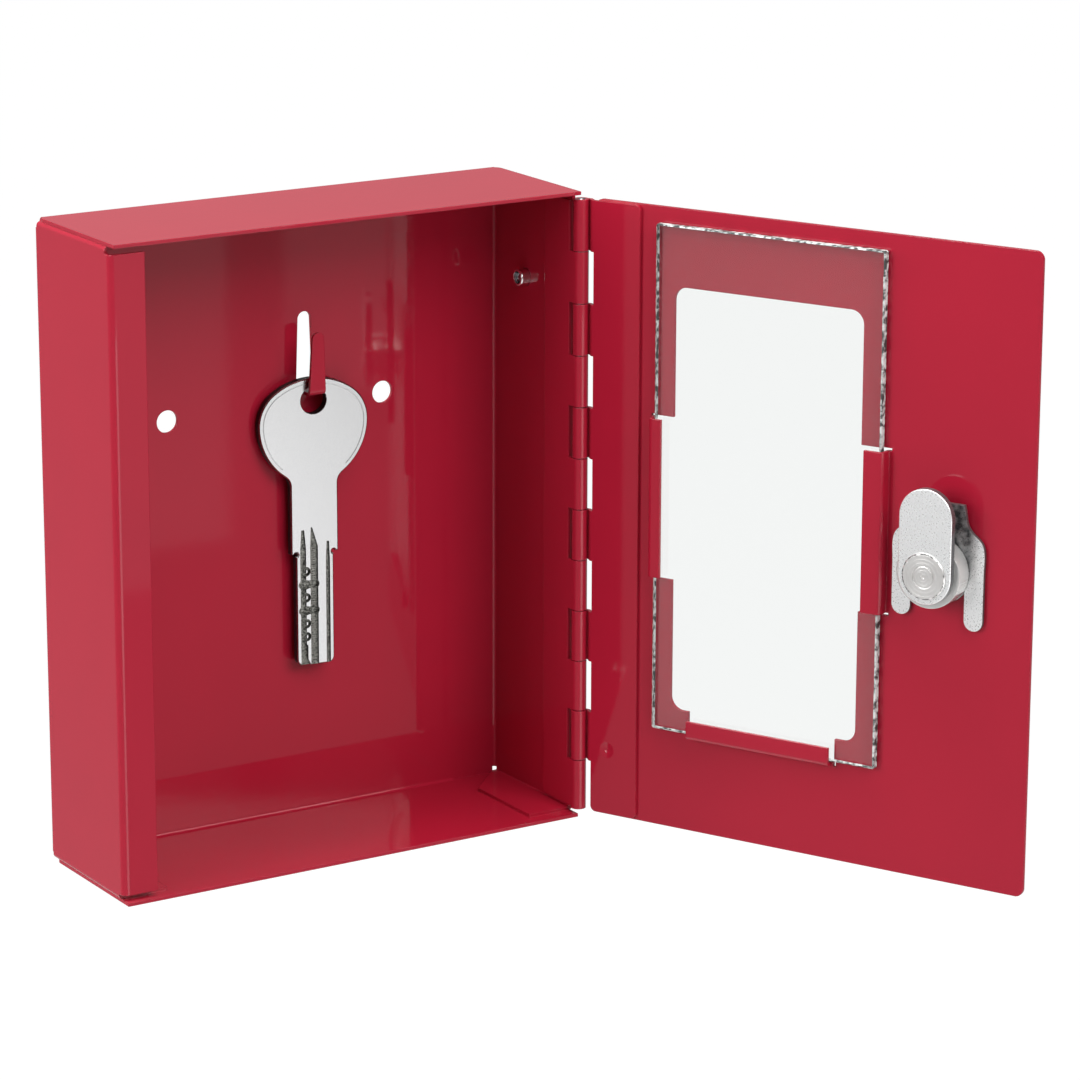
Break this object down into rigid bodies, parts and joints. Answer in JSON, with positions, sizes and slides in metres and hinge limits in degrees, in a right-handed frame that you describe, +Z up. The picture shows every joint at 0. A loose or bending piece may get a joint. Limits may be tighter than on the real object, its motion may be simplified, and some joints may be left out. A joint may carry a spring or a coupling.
{
  "type": "emergency key box",
  "caption": "Wall-mounted break glass key box: folded steel case, glazed door on a piano hinge, cam lock with spring clip, and a key hanging on a lanced hook.",
  "frame": {"origin": "midway between the two wall screw holes, on the back face of the case", "axes": "+X to the right, +Y into the wall, +Z up; millimetre source, metre row"},
  "size_m": [0.1719, 0.1413, 0.15],
  "materials": {
    "red_paint": "glossy baked enamel on sheet steel, slight orange peel",
    "steel_pin": "drawn wire",
    "rivet_steel": "bright, unpainted",
    "clear_glass": "clear 2 mm sheet, cut edges",
    "nickel_zinc": "nickel-plated zinc casting",
    "zinc_steel": "bright zinc-plated pressed steel",
    "nickel_silver": "nickel-plated brass, satin faces",
    "brass_wafer": "stamped",
    "spring_steel": "wire"
  },
  "bodies": {
    "case": {"body_shell": "red_paint", "hinge_box_leaf": "red_paint", "hinge_pin": "steel_pin", "rivet_body": "rivet_steel", "rivet_mandrel": "rivet_steel"},
    "door": {"door_panel": "red_paint", "glass_pane": "clear_glass", "hinge_door_leaf": "red_paint", "lock_housing": "nickel_zinc", "lock_clip": "zinc_steel"},
    "lock_core": {"lock_plug": "nickel_zinc", "lock_cam": "zinc_steel", "lock_wafer_1": "brass_wafer", "lock_wafer_2": "brass_wafer", "lock_wafer_3": "brass_wafer", "lock_wafer_4": "brass_wafer", "lock_wafer_5": "brass_wafer", "wafer_spring_1": "spring_steel", "wafer_spring_2": "spring_steel", "wafer_spring_3": "spring_steel", "wafer_spring_4": "spring_steel", "wafer_spring_5": "spring_steel"},
    "key": {"emergency_key": "nickel_silver"}
  },
  "joints": [
    {"name": "door_hinge", "type": "hinge", "parent": "case", "child": "door", "pos_m": [0.0602, -0.0368, -0.0245], "axis": [0, 0, 1], "range_deg": [-115.8, 81]},
    {"name": "lock_turn", "type": "hinge", "parent": "door", "child": "lock_core", "pos_m": [0.10089, -0.12098, -0.025], "axis": [-0.9003, -0.4352, 0], "range_deg": [-90, 0]},
    {"name": "key_swing", "type": "hinge", "parent": "case", "child": "key", "pos_m": [0.0076, -0.0039, 0.0014], "axis": [0, 1, 0], "range_deg": [-45, 45]}
  ]
}
